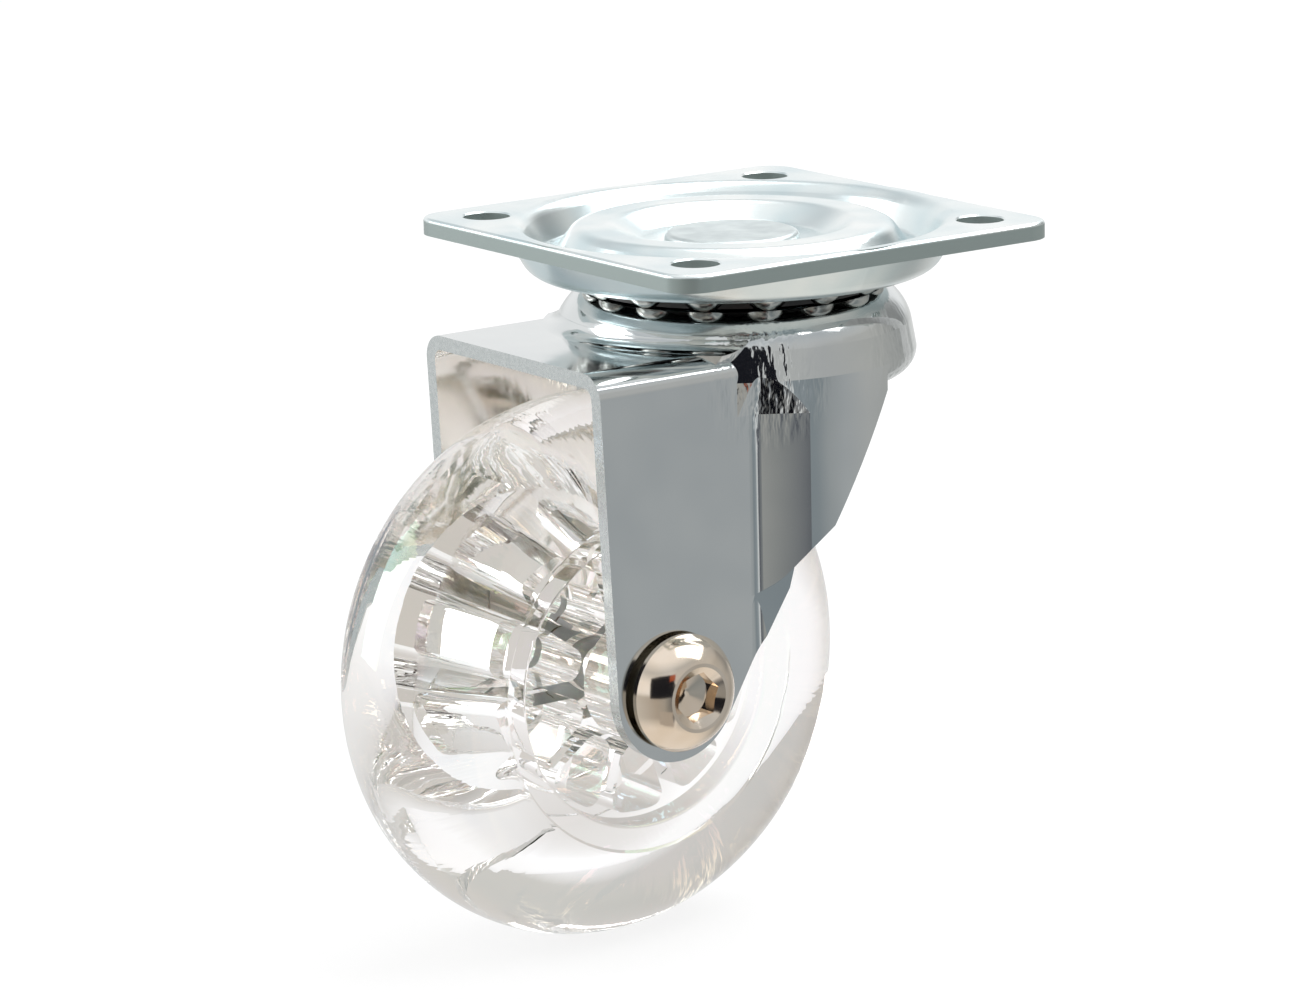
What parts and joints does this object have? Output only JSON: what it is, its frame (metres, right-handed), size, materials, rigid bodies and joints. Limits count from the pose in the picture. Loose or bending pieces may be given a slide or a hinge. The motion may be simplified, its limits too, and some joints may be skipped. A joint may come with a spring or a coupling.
{
  "type": "furniture caster",
  "caption": "Swivel plate caster with a pressed metal fork, ball race and a clear one-piece plastic wheel on a socket-head axle.",
  "frame": {"origin": "centre of the plate's mounting face, on the swivel axis", "axes": "+Z out of the mounting face, away from the wheel; +X along the axle towards the screw head; the wheel trails towards -Y when the swivel is at rest"},
  "size_m": [0.063, 0.0944, 0.0957],
  "materials": {
    "zinc_plate": "bright blue-white zinc plate",
    "zinc_rivet": "satin zinc plate",
    "race_steel": "oiled turned steel",
    "ball_steel": "ground and polished steel",
    "cage_plastic": "black moulded plastic, greased",
    "fork_chrome": "bright plated pressed steel",
    "nickel": "polished nickel plate",
    "washer_zinc": "zinc plated washer",
    "clear_wheel": "clear polished moulding"
  },
  "bodies": {
    "plate": {"top_plate": "zinc_plate", "kingpin": "zinc_rivet", "lower_race": "race_steel"},
    "upper_ring": {"ball_cage": "cage_plastic", "upper_ball_01": "ball_steel", "upper_ball_02": "ball_steel", "upper_ball_03": "ball_steel", "upper_ball_04": "ball_steel", "upper_ball_05": "ball_steel", "upper_ball_06": "ball_steel", "upper_ball_07": "ball_steel", "upper_ball_08": "ball_steel", "upper_ball_09": "ball_steel", "upper_ball_10": "ball_steel", "upper_ball_11": "ball_steel", "upper_ball_12": "ball_steel", "upper_ball_13": "ball_steel", "upper_ball_14": "ball_steel", "upper_ball_15": "ball_steel"},
    "lower_ring": {"lower_ball_01": "ball_steel", "lower_ball_02": "ball_steel", "lower_ball_03": "ball_steel", "lower_ball_04": "ball_steel", "lower_ball_05": "ball_steel", "lower_ball_06": "ball_steel", "lower_ball_07": "ball_steel", "lower_ball_08": "ball_steel", "lower_ball_09": "ball_steel", "lower_ball_10": "ball_steel", "lower_ball_11": "ball_steel", "lower_ball_12": "ball_steel", "lower_ball_13": "ball_steel", "lower_ball_14": "ball_steel"},
    "swivel": {"fork": "fork_chrome", "axle_barrel": "nickel", "axle_screw": "nickel", "head_washer_screw_side": "washer_zinc", "head_washer_barrel_side": "washer_zinc", "hub_washer_screw_side": "washer_zinc", "hub_washer_barrel_side": "washer_zinc"},
    "wheel": {"wheel": "clear_wheel"}
  },
  "joints": [
    {"name": "swivel_turn", "type": "hinge", "parent": "plate", "child": "swivel", "pos_m": [0, 0, 0], "axis": [0, 0, 1], "continuous": true},
    {"name": "upper_ring_turn", "type": "hinge", "parent": "plate", "child": "upper_ring", "pos_m": [0, 0, 0], "axis": [0, 0, 1], "continuous": true},
    {"name": "lower_ring_turn", "type": "hinge", "parent": "plate", "child": "lower_ring", "pos_m": [0, 0, 0], "axis": [0, 0, 1], "continuous": true},
    {"name": "wheel_roll", "type": "hinge", "parent": "swivel", "child": "wheel", "pos_m": [0, -0.0254, -0.0582], "axis": [1, 0, 0], "continuous": true}
  ],
  "couplings": [
    {"joint": "upper_ring_turn", "follows": "swivel_turn", "ratio": 0.5},
    {"joint": "lower_ring_turn", "follows": "swivel_turn", "ratio": 0.5}
  ]
}
